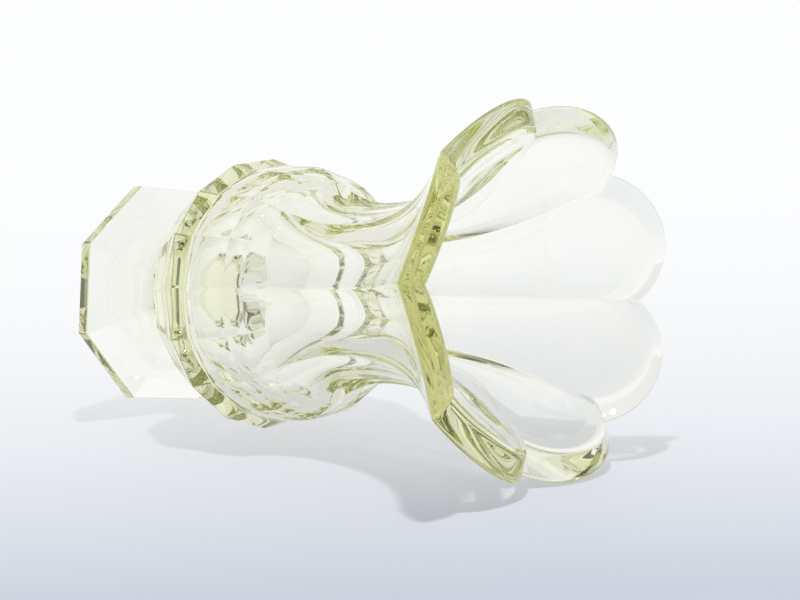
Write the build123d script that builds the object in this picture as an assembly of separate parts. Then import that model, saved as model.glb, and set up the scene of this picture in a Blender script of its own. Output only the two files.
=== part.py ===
"""Fan vase in heavy faceted glass: foot, stem, bowl and scalloped fan mouth, upright on the Z axis (mm)."""
import os
from math import acos, cos, radians, sin, tan

from build123d import *

# Facets around the axis
panel_count = 8
belt_facet_count = 16

# Foot: eight-sided plate with a low faceted top
foot_corner_radius = 43.0
foot_edge_height = 5.0
foot_top_corner_radius = 31.5
foot_top_rise = 5.0

# Stem: slim waist, eight panels in line with the foot
stem_height = 30.0
stem_waist_radius = 14.5
stem_waist_rise = 16.0
stem_top_corner_radius = 19.0

# Bowl: bulb with sixteen facets, widest at the belt, closed in above to the collar; each rise is from the ring below
bowl_base_radius = 38.0
belt_radius = 49.0
belt_rise = 20.0
belt_top_radius = 46.5
belt_top_rise = 8.0
shoulder_radius = 45.0
shoulder_rise = 16.6
shoulder_top_radius = 41.6
shoulder_top_rise = 6.9
collar_radius = 39.2
collar_rise = 4.5

# Hollow: floor and wall thicknesses, and the rises of the inner shoulder and of its widest part from the bowl's base
bowl_floor = 4.5
bowl_wall = 8.1
shoulder_wall = 10.6
neck_wall = 6.3
well_widest_rise = 26.0
inner_shoulder_rise = 46.0

# Mouth: fan with eight lobes; notches sit on the ridges between the panels; rises are from the slimmest part of the neck
neck_radius = 31.2
neck_rise = 26.0
rim_notch_radius = 60.0
rim_notch_rise = 62.0
rim_slope = 41.0
rim_lobe_rise = 13.2
lip_notch_radius = 49.0
lip_notch_rise = 64.0
lip_slope = 38.0
lip_lobe_rise = 12.7
funnel_rise = 4.0

# Petal flutes ground into the inner face of the lobes
flute_depth = 2.0
flute_end_margin = 6.5
flute_length = 60.0

# Room that the cutting shapes reach past the glass
cut_room = 12.0

# Heights of the rings, from the table up
foot_height = foot_edge_height + foot_top_rise
stem_waist_height = foot_height + stem_waist_rise
bowl_base_height = foot_height + stem_height
belt_height = bowl_base_height + belt_rise
belt_top_height = belt_height + belt_top_rise
shoulder_height = belt_top_height + shoulder_rise
shoulder_top_height = shoulder_height + shoulder_top_rise
collar_height = shoulder_top_height + collar_rise
neck_height = collar_height + neck_rise
funnel_start_height = neck_height + funnel_rise
rim_notch_height = neck_height + rim_notch_rise
lip_notch_height = neck_height + lip_notch_rise

half_step = 180.0 / panel_count
step = 360.0 / panel_count
flat_share = cos(radians(half_step))
facet_share = cos(radians(180.0 / belt_facet_count))

# Hollow sizes that follow from the walls
well_radius = belt_top_radius * facet_share - bowl_wall
inner_shoulder_radius = shoulder_radius * facet_share - shoulder_wall
throat_radius = neck_radius * flat_share - neck_wall
well_bottom_height = bowl_base_height + bowl_floor
well_widest_height = bowl_base_height + well_widest_rise
inner_shoulder_height = bowl_base_height + inner_shoulder_rise


def polygon_at(height, corner_radius, sides, turn):
    """Regular polygon at a height, first corner turned from the X axis."""
    return Pos(0, 0, height) * RegularPolygon(corner_radius, sides, rotation=turn)


def panelled(side_edges, turn):
    """Solid with eight panels that follow one side curve, given as edges from bottom to top in the XZ plane."""
    first = side_edges[0] @ 0
    last = side_edges[-1] @ 1
    half = side_edges + [
        Line((last.X, last.Y), (0, last.Y)),
        Line((0, last.Y), (0, first.Y)),
        Line((0, first.Y), (first.X, first.Y)),
    ]
    face = make_face(half)
    both_sides = face + mirror(face, Plane.YZ)
    slab = extrude(Plane.XZ * both_sides, amount=3 * rim_notch_radius, both=True)
    solid = slab.rotate(Axis.Z, turn)
    for index in range(1, panel_count // 2):
        solid = solid & slab.rotate(Axis.Z, turn + index * step)
    return solid


def flare_bend(start_radius, start_height, end_radius, end_height, slope):
    """Radius of the arc that turns from upright to the slope, so that the straight run after it meets the end point."""
    lean = radians(slope)
    across = end_radius - start_radius
    up = end_height - start_height
    return (up * sin(lean) - across * cos(lean)) / (1 - cos(lean))


def flare_edges(start_radius, start_height, end_radius, end_height, slope, run_on):
    """Side curve that starts upright, bends by an arc and runs straight at the slope through the end point."""
    lean = radians(slope)
    bend = flare_bend(start_radius, start_height, end_radius, end_height, slope)
    bend_end = (start_radius + bend * (1 - cos(lean)), start_height + bend * sin(lean))
    bend_middle = (start_radius + bend * (1 - cos(lean / 2)), start_height + bend * sin(lean / 2))
    tip = (end_radius + run_on * sin(lean), end_height + run_on * cos(lean))
    return [
        ThreePointArc((start_radius, start_height), bend_middle, bend_end),
        Line(bend_end, tip),
    ]


def between(start, end, share):
    """Value at a share of the way from one value to another."""
    return start + share * (end - start)


def arch_face(notch_radius, notch_height, slope, rise):
    """Face above one lobe's arch, in the plane of the slab that faces +X."""
    lean = radians(slope)
    flat = notch_radius * flat_share
    half_width = notch_radius * sin(radians(half_step))
    reach = rise + 2 * cut_room
    far_flat = flat + reach * sin(lean)
    far_half = far_flat * tan(radians(half_step))
    far_height = notch_height + reach * cos(lean)
    left = (flat, -half_width, notch_height)
    right = (flat, half_width, notch_height)
    top = (flat + rise * sin(lean), 0, notch_height + rise * cos(lean))
    far_left = (far_flat, -far_half, far_height)
    far_right = (far_flat, far_half, far_height)
    return make_face(
        [
            ThreePointArc(left, top, right),
            Line(right, far_right),
            Line(far_right, far_left),
            Line(far_left, left),
        ]
    )


def past(value, other, share):
    """Value carried on beyond itself, away from the other one."""
    return value + share * (value - other)


# Foot
foot_plate = extrude(polygon_at(0, foot_corner_radius, panel_count, half_step), amount=foot_edge_height)
foot_top = loft(
    [
        polygon_at(foot_edge_height, foot_corner_radius, panel_count, half_step),
        polygon_at(foot_height, foot_top_corner_radius, panel_count, half_step),
    ],
    ruled=True,
)
foot = foot_plate + foot_top

# Stem
stem_foot_flat = foot_top_corner_radius * flat_share
stem_waist_flat = stem_waist_radius * flat_share
stem_top_flat = stem_top_corner_radius * flat_share
stem_side = [
    Bezier(
        (stem_foot_flat, foot_height),
        (between(stem_foot_flat, stem_waist_flat, 0.7), between(foot_height, stem_waist_height, 0.12)),
        (stem_waist_flat, between(stem_waist_height, foot_height, 0.62)),
        (stem_waist_flat, stem_waist_height),
    ),
    Bezier(
        (stem_waist_flat, stem_waist_height),
        (stem_waist_flat, between(stem_waist_height, bowl_base_height, 0.5)),
        (between(stem_top_flat, stem_waist_flat, 0.3), between(bowl_base_height, stem_waist_height, 0.3)),
        (stem_top_flat, bowl_base_height),
    ),
]
stem = panelled(stem_side, 0)

# Bowl
bowl = loft(
    [
        polygon_at(bowl_base_height, bowl_base_radius, belt_facet_count, 0),
        polygon_at(belt_height, belt_radius, belt_facet_count, 0),
    ],
    ruled=True,
)
bowl_rings = [
    (belt_radius, belt_height),
    (belt_top_radius, belt_top_height),
    (shoulder_radius, shoulder_height),
    (shoulder_top_radius, shoulder_top_height),
]
for (low_radius, low_height), (high_radius, high_height) in zip(bowl_rings, bowl_rings[1:]):
    bowl = bowl + loft(
        [
            polygon_at(low_height, low_radius, belt_facet_count, 0),
            polygon_at(high_height, high_radius, belt_facet_count, 0),
        ],
        ruled=True,
    )
collar_points = []
for index in range(belt_facet_count):
    turn = radians(index * 360.0 / belt_facet_count)
    reach = collar_radius if index % 2 == 0 else collar_radius * flat_share
    collar_points.append((reach * cos(turn), reach * sin(turn)))
collar_outline = Pos(0, 0, collar_height) * make_face(Polyline(*collar_points, close=True))
bowl = bowl + loft(
    [polygon_at(shoulder_top_height, shoulder_top_radius, belt_facet_count, 0), collar_outline],
    ruled=True,
)

# Hollow: round, from the well's floor up over the inner shoulder to the throat
well_depth = well_widest_height - well_bottom_height
well_narrowing = inner_shoulder_height - well_widest_height
throat_run = neck_height - inner_shoulder_height
funnel_flat = throat_radius * flat_share
lip_flat = lip_notch_radius * flat_share
funnel_bend = flare_bend(funnel_flat, funnel_start_height, lip_flat, lip_notch_height, lip_slope)
throat_lean = acos(1 - (throat_radius - funnel_flat) / funnel_bend)
throat_top_height = funnel_start_height + funnel_bend * sin(throat_lean)
hollow_side = [
    Bezier(
        (0, well_bottom_height),
        (0.55 * well_radius, well_bottom_height),
        (well_radius, well_widest_height - 0.55 * well_depth),
        (well_radius, well_widest_height),
    ),
    Bezier(
        (well_radius, well_widest_height),
        (well_radius, well_widest_height + 0.5 * well_narrowing),
        (inner_shoulder_radius + 0.2 * well_narrowing, inner_shoulder_height - 0.2 * well_narrowing),
        (inner_shoulder_radius, inner_shoulder_height),
    ),
    Bezier(
        (inner_shoulder_radius, inner_shoulder_height),
        (inner_shoulder_radius - 0.16 * throat_run, inner_shoulder_height + 0.16 * throat_run),
        (throat_radius, neck_height - 0.62 * throat_run),
        (throat_radius, neck_height),
    ),
    Polyline(
        (throat_radius, neck_height),
        (throat_radius, throat_top_height),
        (0, throat_top_height),
        (0, well_bottom_height),
    ),
]
hollow = revolve(Plane.XZ * make_face(hollow_side), Axis.Z)
bowl = bowl - hollow

# Mouth
neck_flat = neck_radius * flat_share
collar_flat = collar_radius * flat_share
neck_side = Bezier(
    (collar_flat, collar_height),
    (collar_flat - 0.24 * neck_rise * flat_share, collar_height + 0.36 * neck_rise),
    (neck_flat, neck_height - 0.4 * neck_rise),
    (neck_flat, neck_height),
)
outer_side = [neck_side] + flare_edges(
    neck_flat,
    neck_height,
    rim_notch_radius * flat_share,
    rim_notch_height,
    rim_slope,
    rim_lobe_rise + cut_room,
)
funnel_side = flare_edges(
    funnel_flat,
    funnel_start_height,
    lip_flat,
    lip_notch_height,
    lip_slope,
    lip_lobe_rise + 2 * cut_room,
)
mouth = panelled(outer_side, half_step) - panelled(funnel_side, half_step) - hollow

# Scalloped lobes: one arch cut per panel, carried on past both faces of the glass
arch_cut = loft(
    [
        arch_face(
            past(rim_notch_radius, lip_notch_radius, 0.3),
            past(rim_notch_height, lip_notch_height, 0.3),
            past(rim_slope, lip_slope, 0.3),
            past(rim_lobe_rise, lip_lobe_rise, 0.3),
        ),
        arch_face(
            past(lip_notch_radius, rim_notch_radius, 0.3),
            past(lip_notch_height, rim_notch_height, 0.3),
            past(lip_slope, rim_slope, 0.3),
            past(lip_lobe_rise, rim_lobe_rise, 0.3),
        ),
    ],
    ruled=True,
)
for index in range(panel_count):
    mouth = mouth - arch_cut.rotate(Axis.Z, half_step + index * step)

# Petal flutes: round-ended, as wide as the panel where the round end begins
lip_lean = radians(lip_slope)
spread = tan(radians(half_step))
flute_half_width = (lip_flat + (lip_lobe_rise - flute_end_margin) * sin(lip_lean)) * spread / (1 + sin(lip_lean) * spread)
flute_radius = (flute_half_width**2 + flute_depth**2) / (2 * flute_depth)
flute_end = lip_lobe_rise - flute_end_margin - flute_half_width
flute_offset = flute_radius - flute_depth
flute_centre = (
    lip_flat + flute_end * sin(lip_lean) - flute_offset * cos(lip_lean),
    0,
    lip_notch_height + flute_end * cos(lip_lean) + flute_offset * sin(lip_lean),
)
flute_plane = Plane(flute_centre, x_dir=(0, 1, 0), z_dir=(-sin(lip_lean), 0, -cos(lip_lean)))
flute_body = flute_plane * Cylinder(flute_radius, flute_length, align=(Align.CENTER, Align.CENTER, Align.MIN))
flute_tip = Pos(*flute_centre) * Sphere(flute_radius)
sector_reach = 2 * rim_notch_radius
sector = extrude(
    Pos(0, 0, collar_height)
    * make_face(
        Polyline(
            (0, 0),
            (sector_reach, -sector_reach * spread),
            (sector_reach, sector_reach * spread),
            close=True,
        )
    ),
    amount=2 * sector_reach,
)
flute_cut = (flute_body + flute_tip) & sector
for index in range(panel_count):
    mouth = mouth - flute_cut.rotate(Axis.Z, half_step + index * step)

os.makedirs("parts", exist_ok=True)
export_step(foot, "parts/foot.step")
export_step(stem, "parts/stem.step")
export_step(bowl, "parts/bowl.step")
export_step(mouth, "parts/mouth.step")
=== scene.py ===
"""Looks of a fan vase in heavy pressed glass, lying on a pale table, laid out as a Blender add-on."""

import math

import bmesh
import bpy
from bpy.props import FloatProperty, FloatVectorProperty, PointerProperty, StringProperty
from mathutils import Euler, Matrix, Vector
from mathutils.geometry import interpolate_bezier


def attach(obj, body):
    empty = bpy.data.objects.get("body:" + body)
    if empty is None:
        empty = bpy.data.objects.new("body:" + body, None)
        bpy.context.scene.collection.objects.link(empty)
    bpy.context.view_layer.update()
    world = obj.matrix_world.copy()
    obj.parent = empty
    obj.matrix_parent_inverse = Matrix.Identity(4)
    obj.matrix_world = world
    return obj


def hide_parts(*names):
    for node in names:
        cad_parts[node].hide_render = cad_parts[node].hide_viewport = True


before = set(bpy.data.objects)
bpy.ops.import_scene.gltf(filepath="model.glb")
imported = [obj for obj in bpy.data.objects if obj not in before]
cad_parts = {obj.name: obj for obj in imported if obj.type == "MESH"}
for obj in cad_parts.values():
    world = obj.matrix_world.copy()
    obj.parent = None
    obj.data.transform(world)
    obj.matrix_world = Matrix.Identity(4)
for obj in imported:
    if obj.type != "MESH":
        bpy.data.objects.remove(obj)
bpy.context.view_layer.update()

bl_info = {
    "name": "Fan vase",
    "version": (1, 0, 0),
    "blender": (4, 5, 0),
    "location": "View3D > Sidebar > Fan vase",
    "description": "Builds a faceted glass vase with a scalloped fan mouth, and the table it lies on",
    "category": "Object",
}

PANELS = 8
FACETS = 16
HALF_PANEL = math.pi / PANELS
COLUMNS = 256
ANGLES = [2 * math.pi * column / COLUMNS for column in range(COLUMNS)]
MERGE_DISTANCE = 1e-7
RIM_STEPS = 10
EDGE_STEPS = 3
# Faces that meet below the flat angle are one face, and edges above the sharp angle are rounded.
FLAT_ANGLE = math.radians(0.2)
SHARP_ANGLE = math.radians(11)
# Plain faces are shaded as one surface below the crease angle, and rounded ones below the soft angle.
CREASE_ANGLE = math.radians(4)
SOFT_ANGLE = math.radians(30)
WHITE = "FFFFFF"
TABLE_REACH = 6.0
SENSOR_WIDTH = 36
CLIP_START = 0.01
# Light crosses many faces inside the glass before it leaves.
GLASS_BOUNCES = 64


def length(name, description, default):
    """A length property, in metres."""
    return FloatProperty(name=name, description=description, default=default, unit="LENGTH", precision=4)


def degrees(name, description, default):
    """An angle property, given in degrees."""
    return FloatProperty(name=name, description=description, default=math.radians(default), subtype="ANGLE")


def number(name, description, default):
    """A plain number property."""
    return FloatProperty(name=name, description=description, default=default)


def hex_colour(name, description, default):
    """A colour property, as sRGB hex."""
    return StringProperty(name=name, description=description, default=default)


def direction(name, description, default):
    """A direction property."""
    return FloatVectorProperty(name=name, description=description, default=default, subtype="DIRECTION")


def position(name, description, default):
    """A place property, in metres."""
    return FloatVectorProperty(name=name, description=description, default=default, subtype="TRANSLATION")


class FanVaseSizes(bpy.types.PropertyGroup):
    """Sizes of the glass, from the foot up and then down the inside."""

    foot_radius: length("Foot corner radius", "Axis to a corner of the foot plate", 0.0430)
    foot_edge: length("Foot edge height", "Height of the upright edge of the foot plate", 0.0050)
    foot_top_radius: length("Foot top corner radius", "Axis to a corner where the stem begins", 0.0315)
    foot_height: length("Foot height", "Height of the foot with its sloped top", 0.0100)
    waist_radius: length("Waist corner radius", "Axis to a corner at the slimmest part of the stem", 0.0145)
    waist_height: length("Waist height", "Height of the slimmest part of the stem", 0.0260)
    stem_top_radius: length("Stem top corner radius", "Axis to a corner under the bowl", 0.0190)
    base_radius: length("Bowl base corner radius", "Axis to a facet corner at the bottom of the bowl", 0.0380)
    base_height: length("Bowl base height", "Height of the bottom of the bowl", 0.0400)
    belt_radius: length("Belt corner radius", "Axis to a facet corner at the widest part of the bowl", 0.0490)
    belt_height: length("Belt height", "Height of the widest part of the bowl", 0.0600)
    belt_top_radius: length("Belt top corner radius", "Axis to a facet corner above the belt", 0.0465)
    belt_top_height: length("Belt top height", "Height of the edge above the belt", 0.0680)
    shoulder_radius: length("Shoulder corner radius", "Axis to a facet corner at the shoulder", 0.0450)
    shoulder_height: length("Shoulder height", "Height of the shoulder", 0.0846)
    shoulder_top_radius: length("Shoulder top corner radius", "Axis to a corner above the shoulder", 0.0416)
    shoulder_top_height: length("Shoulder top height", "Height of the edge above the shoulder", 0.0915)
    collar_radius: length("Collar corner radius", "Axis to a corner of the eight-sided collar", 0.0392)
    collar_height: length("Collar height", "Height of the collar under the neck", 0.0960)
    neck_radius: length("Neck corner radius", "Axis to a corner at the slimmest part of the neck", 0.0312)
    neck_height: length("Neck height", "Height of the slimmest part of the neck", 0.1220)
    rim_radius: length("Outer notch radius", "Axis to the notches of the rim, outside", 0.0600)
    rim_height: length("Outer notch height", "Height of the notches of the rim, outside", 0.1840)
    rim_rise: length("Outer lobe rise", "Arch of a lobe above its notches, outside", 0.0132)
    rim_slope: degrees("Outer slope", "Lean of the lobes, outside", 41)
    lip_radius: length("Inner notch radius", "Axis to the notches of the rim, inside", 0.0490)
    lip_height: length("Inner notch height", "Height of the notches of the rim, inside", 0.1860)
    lip_rise: length("Inner lobe rise", "Arch of a lobe above its notches, inside", 0.0127)
    lip_slope: degrees("Inner slope", "Lean of the lobes, inside", 38)
    flute_depth: length("Flute depth", "Depth of the petal flutes inside the lobes", 0.0020)
    flute_margin: length("Flute margin", "Plain glass between a flute's round end and the rim", 0.0065)
    throat_radius: length("Throat radius", "Radius of the round throat", 0.0225)
    funnel_height: length("Funnel start height", "Height where the throat opens to the fan", 0.1260)
    throat_height: length("Throat foot height", "Height where the throat begins to widen to the well", 0.1220)
    turn_radius: length("Inner turn radius", "Radius of the inner shoulder, halfway", 0.0335)
    turn_height: length("Inner turn height", "Height of the inner shoulder, halfway", 0.0860)
    well_radius: length("Well radius", "Largest radius of the hollow in the bowl", 0.0375)
    well_height: length("Well height", "Height where the hollow is widest", 0.0660)
    well_bottom: length("Well bottom height", "Height of the bottom of the hollow", 0.0445)
    rim_round: length("Rim rounding", "Reach of the soft rounding of the rim, outside", 0.0022)
    lip_round: length("Lip rounding", "Reach of the soft rounding of the rim, inside", 0.0030)
    edge_round: length("Edge rounding", "Width of the other fire-polished edges", 0.0005)


class FanVaseGlass(bpy.types.PropertyGroup):
    """Finish of the glass."""

    tint: hex_colour("Tint", "Colour of thick glass", "EBEC95")
    tint_density: number("Tint density", "How soon the tint builds up, per metre", 9.5)
    refraction: number("Refraction", "Index of refraction of soda-lime glass", 1.5)
    wave_size: length("Wave size", "Width of the faint waves that the mould leaves", 0.0160)
    wave_height: length("Wave height", "Height of those waves", 0.00001)


class FanVaseStage(bpy.types.PropertyGroup):
    """Table, light and camera."""

    table_colour: hex_colour("Table", "Colour of the table", "E5EAF1")
    table_normal: direction("Table normal", "Up from the table", (0.19400, -0.97532, 0.10541))
    table_level: length("Table level", "Place of the table along its normal", -0.04293)
    table_away: direction("Away", "Along the table, away from the camera", (-0.6892, -0.2120, -0.6928))
    backdrop_colour: hex_colour("Backdrop", "Colour of the backdrop", "FDFEFF")
    fade_start: length("Fade start", "Where the table begins to run into the backdrop", -0.245)
    fade_length: length("Fade length", "How softly the table runs into the backdrop", 0.190)
    lamp_place: position("Lamp", "Place of the small lamp over the table", (0.293, -0.918, 0.355))
    lamp_power: number("Lamp power", "Power of the lamp in watts", 19.5)
    lamp_radius: length("Lamp radius", "Radius of the lamp, which sets how soft the shadows are", 0.03)
    room_colour: hex_colour("Room colour", "Cool colour of the room's light", "E6EFFF")
    room_light: number("Room light", "Even light of the room on the table", 0.40)
    dark_side: direction("Dark side", "Towards the unlit end of the room", (0.713, 0.034, 0.700))
    dark_tone: number("Dark tone", "Brightness of the unlit end of the room", 0.12)
    dark_inner: degrees("Dark inner angle", "The unlit end is darkest within this angle", 45)
    dark_outer: degrees("Dark outer angle", "The unlit end reaches this far", 105)
    side_tone: number("Side tone", "Brightness of the walls beside the backdrop", 0.84)
    side_inner: degrees("Side inner angle", "These walls have their tone within this angle", 140)
    side_outer: degrees("Side outer angle", "The backdrop is white past this angle", 165)
    camera_place: position("Camera", "Place of the camera", (0.54832, 0.02852, 0.66548))
    camera_turn: FloatVectorProperty(
        name="Camera turn",
        description="Rotation of the camera",
        default=(math.radians(0.06625), math.radians(-45.5324), math.radians(-177.36784)),
        subtype="EULER",
    )
    camera_lens: number("Lens", "Focal length in millimetres", 101.25)


def linear(code):
    """Linear RGBA of a colour that is written as sRGB hex."""
    channels = []
    for place in (0, 2, 4):
        value = int(code[place : place + 2], 16) / 255
        # This is the standard sRGB curve.
        channels.append(value / 12.92 if value <= 0.04045 else ((value + 0.055) / 1.055) ** 2.4)
    return channels + [1.0]


def add_node(tree, kind, settings=None, links=None):
    """Adds a node.

    Settings go to its attributes or input sockets, and links join outputs of other nodes to its inputs.
    """
    node = tree.nodes.new(kind)
    for key, value in (settings or {}).items():
        if isinstance(key, str) and hasattr(node, key):
            setattr(node, key, value)
        else:
            node.inputs[key].default_value = value
    for key, output in (links or {}).items():
        tree.links.new(output, node.inputs[key])
    return node


def polygon(radius, sides, first_corner):
    """Reach of a regular polygon's outline at each column, first corner turned from the X axis."""
    half = math.pi / sides
    flat = radius * math.cos(half)
    return [flat / math.cos((angle - first_corner) % (2 * half) - half) for angle in ANGLES]


def level(reaches, height):
    """Ring of places at one height."""
    return [
        Vector((reach * math.cos(angle), reach * math.sin(angle), height))
        for reach, angle in zip(reaches, ANGLES)
    ]


def curve(start, start_handle, end_handle, end, steps):
    """Points of one side curve as (radius, height), without its start."""
    knots = [Vector((radius, 0, height)) for radius, height in (start, start_handle, end_handle, end)]
    return [(point.x, point.z) for point in interpolate_bezier(*knots, steps + 1)[1:]]


def flare(start_radius, start_height, end_radius, end_height, slope, steps):
    """Points of an arc from upright to the slope, as (radius, height, lean).

    Straight on from the last point, the side meets its end.
    """
    across = end_radius - start_radius
    up = end_height - start_height
    bend = (across * math.cos(slope) - up * math.sin(slope)) / (math.cos(slope) - 1)
    points = []
    for step in range(steps + 1):
        lean = slope * step / steps
        radius = start_radius + bend * (1 - math.cos(lean))
        height = start_height + bend * math.sin(lean)
        points.append((radius, height, lean))
    return points


def on_slab(column_angle, flat, height, lean, across, along, depth):
    """Place on the slab of a lobe, across and along it from its chord, and sunk by a depth.

    The chord lies at a flat distance from the axis and at a height.
    """
    middle = column_angle - column_angle % (2 * HALF_PANEL) + HALF_PANEL
    out = flat + along * math.sin(lean) + depth * math.cos(lean)
    up = height + along * math.cos(lean) - depth * math.sin(lean)
    return Vector(
        (
            out * math.cos(middle) - across * math.sin(middle),
            out * math.sin(middle) + across * math.cos(middle),
            up,
        )
    )


def panel_share(angle):
    """Place of a column across its panel, from -1 at one ridge to 1 at the next."""
    return (angle % (2 * HALF_PANEL)) / HALF_PANEL - 1


def arch(notch_radius, notch_height, slope, rise):
    """Ring that follows the arched edge of every lobe."""
    half = notch_radius * math.sin(HALF_PANEL)
    radius = (half**2 + rise**2) / (2 * rise)
    spread = math.asin(half / radius)
    places = []
    for angle in ANGLES:
        turn = panel_share(angle) * spread
        along = radius * math.cos(turn) - (radius - rise)
        flat = notch_radius * math.cos(HALF_PANEL)
        places.append(on_slab(angle, flat, notch_height, slope, radius * math.sin(turn), along, 0))
    return places


def outer_rings(sizes):
    """Rings of the outside, from the foot up to where the lobes become flat."""
    rings = [
        level(polygon(sizes.foot_radius, PANELS, HALF_PANEL), 0),
        level(polygon(sizes.foot_radius, PANELS, HALF_PANEL), sizes.foot_edge),
        level(polygon(sizes.foot_top_radius, PANELS, HALF_PANEL), sizes.foot_height),
    ]
    # The two middle points of every side curve are its handles, set at shares of its rise.
    low = sizes.waist_height - sizes.foot_height
    high = sizes.base_height - sizes.waist_height
    stem = curve(
        (sizes.foot_top_radius, sizes.foot_height),
        (0.3 * sizes.foot_top_radius + 0.7 * sizes.waist_radius, sizes.foot_height + 0.12 * low),
        (sizes.waist_radius, sizes.waist_height - 0.62 * low),
        (sizes.waist_radius, sizes.waist_height),
        steps=10,
    ) + curve(
        (sizes.waist_radius, sizes.waist_height),
        (sizes.waist_radius, sizes.waist_height + 0.5 * high),
        (0.7 * sizes.stem_top_radius + 0.3 * sizes.waist_radius, sizes.base_height - 0.3 * high),
        (sizes.stem_top_radius, sizes.base_height),
        steps=8,
    )
    rings += [level(polygon(radius, PANELS, HALF_PANEL), height) for radius, height in stem]
    bowl = [
        (sizes.base_radius, sizes.base_height),
        (sizes.belt_radius, sizes.belt_height),
        (sizes.belt_top_radius, sizes.belt_top_height),
        (sizes.shoulder_radius, sizes.shoulder_height),
        (sizes.shoulder_top_radius, sizes.shoulder_top_height),
    ]
    rings += [level(polygon(radius, FACETS, 0), height) for radius, height in bowl]
    rings.append(level(polygon(sizes.collar_radius, PANELS, 0), sizes.collar_height))
    rise = sizes.neck_height - sizes.collar_height
    neck = curve(
        (sizes.collar_radius, sizes.collar_height),
        (sizes.collar_radius - 0.24 * rise, sizes.collar_height + 0.36 * rise),
        (sizes.neck_radius, sizes.neck_height - 0.40 * rise),
        (sizes.neck_radius, sizes.neck_height),
        steps=18,
    )
    rings += [level(polygon(radius, PANELS, 0), height) for radius, height in neck]
    to_corner = 1 / math.cos(HALF_PANEL)
    side = flare(
        sizes.neck_radius / to_corner,
        sizes.neck_height,
        sizes.rim_radius / to_corner,
        sizes.rim_height,
        sizes.rim_slope,
        steps=28,
    )
    rings += [level(polygon(flat * to_corner, PANELS, 0), height) for flat, height, _ in side[1:]]
    return rings


def rounded(before, corners, after, reach, steps):
    """Rings of a rounded edge in place of a ring of corners, between the rings before and after it."""
    rings = [[] for _ in range(steps + 1)]
    for start, corner, end in zip(before, corners, after):
        first = corner + (start - corner).normalized() * reach
        last = corner + (end - corner).normalized() * reach
        for step, ring in enumerate(rings):
            share = step / steps
            ring.append(first.lerp(corner, share).lerp(corner.lerp(last, share), share))
    return rings


def flute_rings(sizes):
    """Rings of the petal flutes, from their round ends down to the throat."""
    slope = sizes.lip_slope
    spread = math.tan(HALF_PANEL)
    flat = sizes.lip_radius * math.cos(HALF_PANEL)
    tip = sizes.lip_rise - sizes.flute_margin
    half = (flat + tip * math.sin(slope)) * spread / (1 + math.sin(slope) * spread)
    end = tip - half
    rings = []
    steps = 12
    for step in range(steps + 1):
        bow = math.cos(0.5 * math.pi * step / steps)
        places = []
        for angle in ANGLES:
            turn = 0.5 * math.pi * panel_share(angle)
            across = half * math.sin(turn)
            along = bow * half * math.cos(turn)
            depth = sizes.flute_depth * max(0.0, 1 - (across**2 + along**2) / half**2)
            places.append(on_slab(angle, flat, sizes.lip_height, slope, across, end + along, depth))
        rings.append(places)
    throat = sizes.throat_radius * math.cos(HALF_PANEL)
    side = flare(throat, sizes.funnel_height, flat, sizes.lip_height, slope, steps=34)
    for step, (chord, height, lean) in enumerate(reversed(side)):
        share = step / (len(side) - 1)
        ease = share * share * (3 - 2 * share)
        width = chord * spread
        radius = chord / math.cos(HALF_PANEL)
        places = []
        for angle in ANGLES:
            place = panel_share(angle)
            even = math.tan(place * HALF_PANEL) / spread
            across = width * ((1 - ease) * math.sin(0.5 * math.pi * place) + ease * even)
            bowed = sizes.flute_depth * (1 - (across / width) ** 2)
            round_depth = math.sqrt(radius**2 - across**2) - chord
            depth = (1 - ease) * bowed + ease * round_depth
            places.append(on_slab(angle, chord, height, lean, across, 0, depth))
        rings.append(places)
    return rings


def well_rings(sizes):
    """Rings of the hollow, from the throat down to its bottom."""
    drop = sizes.throat_height - sizes.turn_height
    fall = sizes.turn_height - sizes.well_height
    deep = sizes.well_height - sizes.well_bottom
    points = [(sizes.throat_radius, sizes.throat_height)]
    points += curve(
        points[-1],
        (sizes.throat_radius, sizes.throat_height - 0.62 * drop),
        (sizes.turn_radius - 0.16 * drop, sizes.turn_height + 0.16 * drop),
        (sizes.turn_radius, sizes.turn_height),
        steps=34,
    )
    points += curve(
        points[-1],
        (sizes.turn_radius + 0.2 * fall, sizes.turn_height - 0.2 * fall),
        (sizes.well_radius, sizes.well_height + 0.5 * fall),
        (sizes.well_radius, sizes.well_height),
        steps=34,
    )
    points += curve(
        points[-1],
        (sizes.well_radius, sizes.well_height - 0.55 * deep),
        (0.55 * sizes.well_radius, sizes.well_bottom),
        (0.02 * sizes.well_radius, sizes.well_bottom),
        steps=44,
    )
    return [level([radius] * COLUMNS, height) for radius, height in points]


def glass_material(finish):
    """Pressed and fire-polished soda-lime glass with a straw tint.

    The eye sees it clear where it is thin, yellow-green where light runs far inside it, and faintly waved.
    """
    material = bpy.data.materials.new("pressed straw glass")
    material.use_nodes = True
    tree = material.node_tree
    tree.nodes.clear()
    place = add_node(tree, "ShaderNodeTexCoord")
    waves = add_node(
        tree,
        "ShaderNodeTexNoise",
        {"Scale": 1 / finish.wave_size, "Detail": 1.0, "Roughness": 0.4},
        {"Vector": place.outputs["Object"]},
    )
    bump = add_node(
        tree,
        "ShaderNodeBump",
        {"Strength": 1.0, "Distance": finish.wave_height},
        {"Height": waves.outputs["Fac"]},
    )
    surface = add_node(
        tree,
        "ShaderNodeBsdfPrincipled",
        {"Base Color": linear(WHITE), "Roughness": 0.0, "IOR": finish.refraction, "Transmission Weight": 1.0},
        {"Normal": bump.outputs["Normal"]},
    )
    inside = add_node(
        tree, "ShaderNodeVolumeAbsorption", {"Color": linear(finish.tint), "Density": finish.tint_density}
    )
    add_node(
        tree,
        "ShaderNodeOutputMaterial",
        links={"Surface": surface.outputs["BSDF"], "Volume": inside.outputs["Volume"]},
    )
    return material


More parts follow.
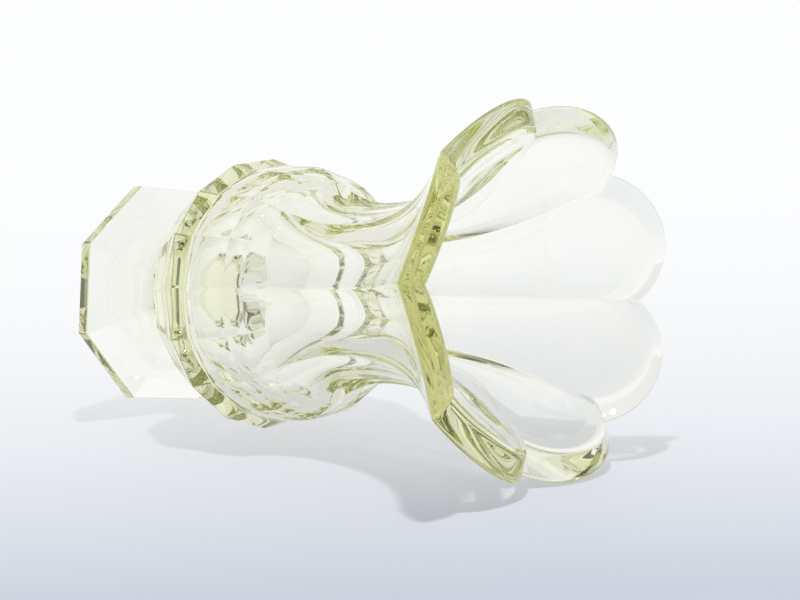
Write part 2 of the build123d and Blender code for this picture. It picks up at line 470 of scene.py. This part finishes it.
def seen_directly(tree):
    """Gives two factors, which are 0 for light that falls on the table.

    The first is 1 for all that the camera sees, also past the glass, and the second only for what it sees
    directly.
    """
    path = add_node(tree, "ShaderNodeLightPath")
    first = add_node(
        tree,
        "ShaderNodeMath",
        {"operation": "MAXIMUM"},
        {0: path.outputs["Is Camera Ray"], 1: path.outputs["Is Glossy Ray"]},
    )
    seen = add_node(
        tree,
        "ShaderNodeMath",
        {"operation": "MAXIMUM"},
        {0: first.outputs[0], 1: path.outputs["Is Transmission Ray"]},
    )
    apart = add_node(
        tree,
        "ShaderNodeMath",
        {"operation": "SUBTRACT", "use_clamp": True},
        {0: seen.outputs[0], 1: path.outputs["Diffuse Depth"]},
    )
    return apart.outputs[0], path.outputs["Is Camera Ray"]


def table_material(stage):
    """Smooth pale board that runs into a white backdrop, seen only from above."""
    material = bpy.data.materials.new("smooth pale board")
    material.use_nodes = True
    tree = material.node_tree
    tree.nodes.clear()
    board = add_node(
        tree,
        "ShaderNodeBsdfPrincipled",
        {"Base Color": linear(stage.table_colour), "Roughness": 0.6, "Specular IOR Level": 0.2},
    )
    backdrop = add_node(tree, "ShaderNodeEmission", {"Color": linear(stage.backdrop_colour), "Strength": 1.0})
    place = add_node(tree, "ShaderNodeTexCoord")
    away = add_node(
        tree,
        "ShaderNodeVectorMath",
        {"operation": "DOT_PRODUCT", 1: stage.table_away},
        {0: place.outputs["Object"]},
    )
    run = add_node(
        tree,
        "ShaderNodeMapRange",
        {
            "clamp": False,
            "From Min": stage.fade_start,
            "From Max": stage.fade_start + stage.fade_length,
            "To Min": 0.0,
            "To Max": -1.0,
        },
        {"Value": away.outputs["Value"]},
    )
    near = add_node(tree, "ShaderNodeMath", {"operation": "MINIMUM", 1: 0.0}, {0: run.outputs["Result"]})
    left = add_node(tree, "ShaderNodeMath", {"operation": "EXPONENT"}, {0: near.outputs[0]})
    share = add_node(tree, "ShaderNodeMath", {"operation": "SUBTRACT", 0: 1.0}, {1: left.outputs[0]})
    seen, _ = seen_directly(tree)
    fade = add_node(tree, "ShaderNodeMath", {"operation": "MULTIPLY"}, {0: share.outputs[0], 1: seen})
    faded = add_node(
        tree,
        "ShaderNodeMixShader",
        links={0: fade.outputs[0], 1: board.outputs["BSDF"], 2: backdrop.outputs["Emission"]},
    )
    nothing = add_node(tree, "ShaderNodeBsdfTransparent")
    side = add_node(tree, "ShaderNodeNewGeometry")
    shown = add_node(
        tree,
        "ShaderNodeMixShader",
        links={0: side.outputs["Backfacing"], 1: faded.outputs["Shader"], 2: nothing.outputs["BSDF"]},
    )
    add_node(tree, "ShaderNodeOutputMaterial", links={"Surface": shown.outputs["Shader"]})
    return material


def darker(tree, towards, outer, inner, tone):
    """Brightness that falls from 1 to a tone as the angle to the unlit end goes from outer to inner."""
    fall = add_node(
        tree,
        "ShaderNodeMapRange",
        {
            "interpolation_type": "SMOOTHSTEP",
            "From Min": math.cos(outer),
            "From Max": math.cos(inner),
            "To Min": 1.0,
            "To Max": tone,
        },
        {"Value": towards},
    )
    return fall.outputs["Result"]


def room_world(stage):
    """White room with an unlit end behind the camera, and a plain even light on the table."""
    world = bpy.data.worlds.new("white room")
    world.use_nodes = True
    tree = world.node_tree
    tree.nodes.clear()
    seen, by_camera = seen_directly(tree)
    place = add_node(tree, "ShaderNodeTexCoord")
    towards = add_node(
        tree,
        "ShaderNodeVectorMath",
        {"operation": "DOT_PRODUCT", 1: Vector(stage.dark_side).normalized()},
        {0: place.outputs["Generated"]},
    )
    unlit = darker(tree, towards.outputs["Value"], stage.dark_outer, stage.dark_inner, stage.dark_tone)
    beside = darker(tree, towards.outputs["Value"], stage.side_outer, stage.side_inner, stage.side_tone)
    toned = add_node(tree, "ShaderNodeMath", {"operation": "MULTIPLY"}, {0: unlit, 1: beside})
    walls = add_node(tree, "ShaderNodeMath", {"operation": "MAXIMUM"}, {0: toned.outputs[0], 1: by_camera})
    # The mix node numbers its sockets: 0 is the factor, 2 and 3 are its numbers, 6 and 7 its colours.
    strength = add_node(
        tree,
        "ShaderNodeMix",
        {"data_type": "FLOAT", 2: stage.room_light},
        {0: seen, 3: walls.outputs[0]},
    )
    colour = add_node(
        tree,
        "ShaderNodeMix",
        {"data_type": "RGBA", 6: linear(stage.room_colour), 7: linear(WHITE)},
        {0: seen},
    )
    room = add_node(
        tree,
        "ShaderNodeBackground",
        links={"Color": colour.outputs[2], "Strength": strength.outputs[0]},
    )
    add_node(tree, "ShaderNodeOutputWorld", links={"Surface": room.outputs["Background"]})
    return world


def lay_net(bm, rings):
    """Lays a net of faces through rings of places, with its rows in their order."""
    net = bmesh.ops.create_grid(bm, x_segments=COLUMNS, y_segments=len(rings) - 1, size=1)
    # Columns that run clockwise split the faces the way that leaves the rim's end faces smooth.
    for index, vert in enumerate(net["verts"]):
        ring, column = divmod(index, COLUMNS + 1)
        vert.co = rings[ring][-column % COLUMNS]


def polish(bm, width, hollow, polished):
    """Rounds the sharp edges outside, as fire polishing does, and sets which edges look soft."""
    # Flat faces are joined first, so that the rounding runs along whole edges.
    bmesh.ops.dissolve_limit(
        bm,
        angle_limit=FLAT_ANGLE,
        use_dissolve_boundaries=False,
        verts=bm.verts,
        edges=bm.edges,
        delimit=set(),
    )
    # Edges inside the hollow stay as pressed, and the rim is rounded already.
    sharp = [
        edge
        for edge in bm.edges
        if edge.calc_face_angle() > SHARP_ANGLE
        and not all(face[hollow] for face in edge.link_faces)
        and not any(face[polished] for face in edge.link_faces)
    ]
    made = bmesh.ops.bevel(
        bm,
        geom=sharp,
        offset=width,
        offset_type="OFFSET",
        segments=EDGE_STEPS,
        profile=0.5,
        affect="EDGES",
        material=-1,
        clamp_overlap=False,
    )
    for face in made["faces"]:
        face[polished] = 1
    # Faces with more than four corners are split evenly, so that they look the same in every run.
    many_sided = [face for face in bm.faces if len(face.verts) > 4]
    bmesh.ops.triangulate(bm, faces=many_sided, quad_method="BEAUTY", ngon_method="BEAUTY")
    for face in bm.faces:
        face.smooth = True
    for edge in bm.edges:
        soft = all(face[polished] for face in edge.link_faces)
        edge.smooth = edge.calc_face_angle(0) < (SOFT_ANGLE if soft else CREASE_ANGLE)


class FANVASE_OT_body(bpy.types.Operator):
    """Make the glass body of the vase, one piece from foot to rim with its hollow"""

    bl_idname = "fan_vase.body"
    bl_label = "Glass body"

    def execute(self, context):
        sizes = context.scene.fan_vase_sizes
        outside = [level([0.0] * COLUMNS, 0)] + outer_rings(sizes)
        inside = flute_rings(sizes) + well_rings(sizes) + [level([0.0] * COLUMNS, sizes.well_bottom)]
        rim = arch(sizes.rim_radius, sizes.rim_height, sizes.rim_slope, sizes.rim_rise)
        lip = arch(sizes.lip_radius, sizes.lip_height, sizes.lip_slope, sizes.lip_rise)
        soft_rim = rounded(outside[-1], rim, lip, sizes.rim_round, RIM_STEPS)
        soft_lip = rounded(rim, lip, inside[0], sizes.lip_round, RIM_STEPS)
        rim_row = len(outside)
        lip_row = rim_row + len(soft_rim)
        hollow_row = lip_row + RIM_STEPS
        bm = bmesh.new()
        hollow = bm.faces.layers.int.new("hollow")
        polished = bm.faces.layers.int.new("polished")
        lay_net(bm, outside + soft_rim + soft_lip + inside)
        for index, face in enumerate(bm.faces):
            row = index // COLUMNS
            face[hollow] = row >= hollow_row
            face[polished] = rim_row <= row < rim_row + RIM_STEPS or lip_row <= row < hollow_row
        # The first and the last column meet, and the end rings shrink to points on the axis.
        bmesh.ops.remove_doubles(bm, verts=bm.verts, dist=MERGE_DISTANCE)
        bmesh.ops.recalc_face_normals(bm, faces=bm.faces)
        if any(len(edge.link_faces) != 2 for edge in bm.edges):
            raise RuntimeError("the glass isn't closed")
        polish(bm, sizes.edge_round, hollow, polished)
        mesh = bpy.data.meshes.new("vase_glass")
        bm.to_mesh(mesh)
        bm.free()
        mesh.materials.append(glass_material(context.scene.fan_vase_glass))
        vase = bpy.data.objects.new("vase_glass", mesh)
        context.scene.collection.objects.link(vase)
        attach(vase, "root")
        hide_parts("foot", "stem", "bowl", "mouth")
        # The glass bends the lamp's light into bright streaks on the table.
        vase.cycles.is_caustics_caster = True
        return {"FINISHED"}


class FANVASE_OT_stage(bpy.types.Operator):
    """Make the table, the light and the camera"""

    bl_idname = "fan_vase.stage"
    bl_label = "Stage"

    def execute(self, context):
        scene = context.scene
        stage = scene.fan_vase_stage
        up = Vector(stage.table_normal).normalized()
        bm = bmesh.new()
        bmesh.ops.create_grid(bm, x_segments=1, y_segments=1, size=TABLE_REACH)
        turn = up.to_track_quat("Z", "Y").to_matrix().to_4x4()
        bmesh.ops.transform(bm, matrix=Matrix.Translation(up * stage.table_level) @ turn, verts=bm.verts)
        mesh = bpy.data.meshes.new("table")
        bm.to_mesh(mesh)
        bm.free()
        mesh.materials.append(table_material(stage))
        table = bpy.data.objects.new("table", mesh)
        scene.collection.objects.link(table)
        table.cycles.is_caustics_receiver = True

        scene.world = room_world(stage)

        light = bpy.data.lights.new("lamp", "POINT")
        light.energy = stage.lamp_power
        light.shadow_soft_size = stage.lamp_radius
        light.cycles.is_caustics_light = True
        lamp = bpy.data.objects.new("lamp", light)
        lamp.location = stage.lamp_place
        scene.collection.objects.link(lamp)

        lens = bpy.data.cameras.new("camera")
        lens.sensor_width = SENSOR_WIDTH
        lens.lens = stage.camera_lens
        lens.clip_start = CLIP_START
        camera = bpy.data.objects.new("camera", lens)
        camera.matrix_world = (
            Matrix.Translation(stage.camera_place) @ Euler(stage.camera_turn, "XYZ").to_matrix().to_4x4()
        )
        scene.collection.objects.link(camera)
        scene.camera = camera
        scene.view_settings.view_transform = "Standard"
        scene.cycles.max_bounces = GLASS_BOUNCES
        scene.cycles.glossy_bounces = GLASS_BOUNCES
        scene.cycles.transmission_bounces = GLASS_BOUNCES
        return {"FINISHED"}


class FANVASE_PT_panel(bpy.types.Panel):
    """Sizes, finish and building steps of the fan vase"""

    bl_idname = "FANVASE_PT_panel"
    bl_label = "Fan vase"
    bl_space_type = "VIEW_3D"
    bl_region_type = "UI"
    bl_category = "Fan vase"

    def draw(self, context):
        for group in ("fan_vase_sizes", "fan_vase_glass", "fan_vase_stage"):
            settings = getattr(context.scene, group)
            for name in settings.__annotations__:
                self.layout.prop(settings, name)
        self.layout.operator("fan_vase.body")
        self.layout.operator("fan_vase.stage")


CLASSES = (FanVaseSizes, FanVaseGlass, FanVaseStage, FANVASE_OT_body, FANVASE_OT_stage, FANVASE_PT_panel)


def register():
    """Adds the classes and the scene's settings."""
    for item in CLASSES:
        bpy.utils.register_class(item)
    bpy.types.Scene.fan_vase_sizes = PointerProperty(type=FanVaseSizes)
    bpy.types.Scene.fan_vase_glass = PointerProperty(type=FanVaseGlass)
    bpy.types.Scene.fan_vase_stage = PointerProperty(type=FanVaseStage)


def unregister():
    """Takes the settings and the classes away again."""
    del bpy.types.Scene.fan_vase_stage
    del bpy.types.Scene.fan_vase_glass
    del bpy.types.Scene.fan_vase_sizes
    for item in reversed(CLASSES):
        bpy.utils.unregister_class(item)


def main():
    """Builds the vase and its stage."""
    register()
    bpy.ops.fan_vase.body()
    bpy.ops.fan_vase.stage()


if __name__ == "__main__":
    main()
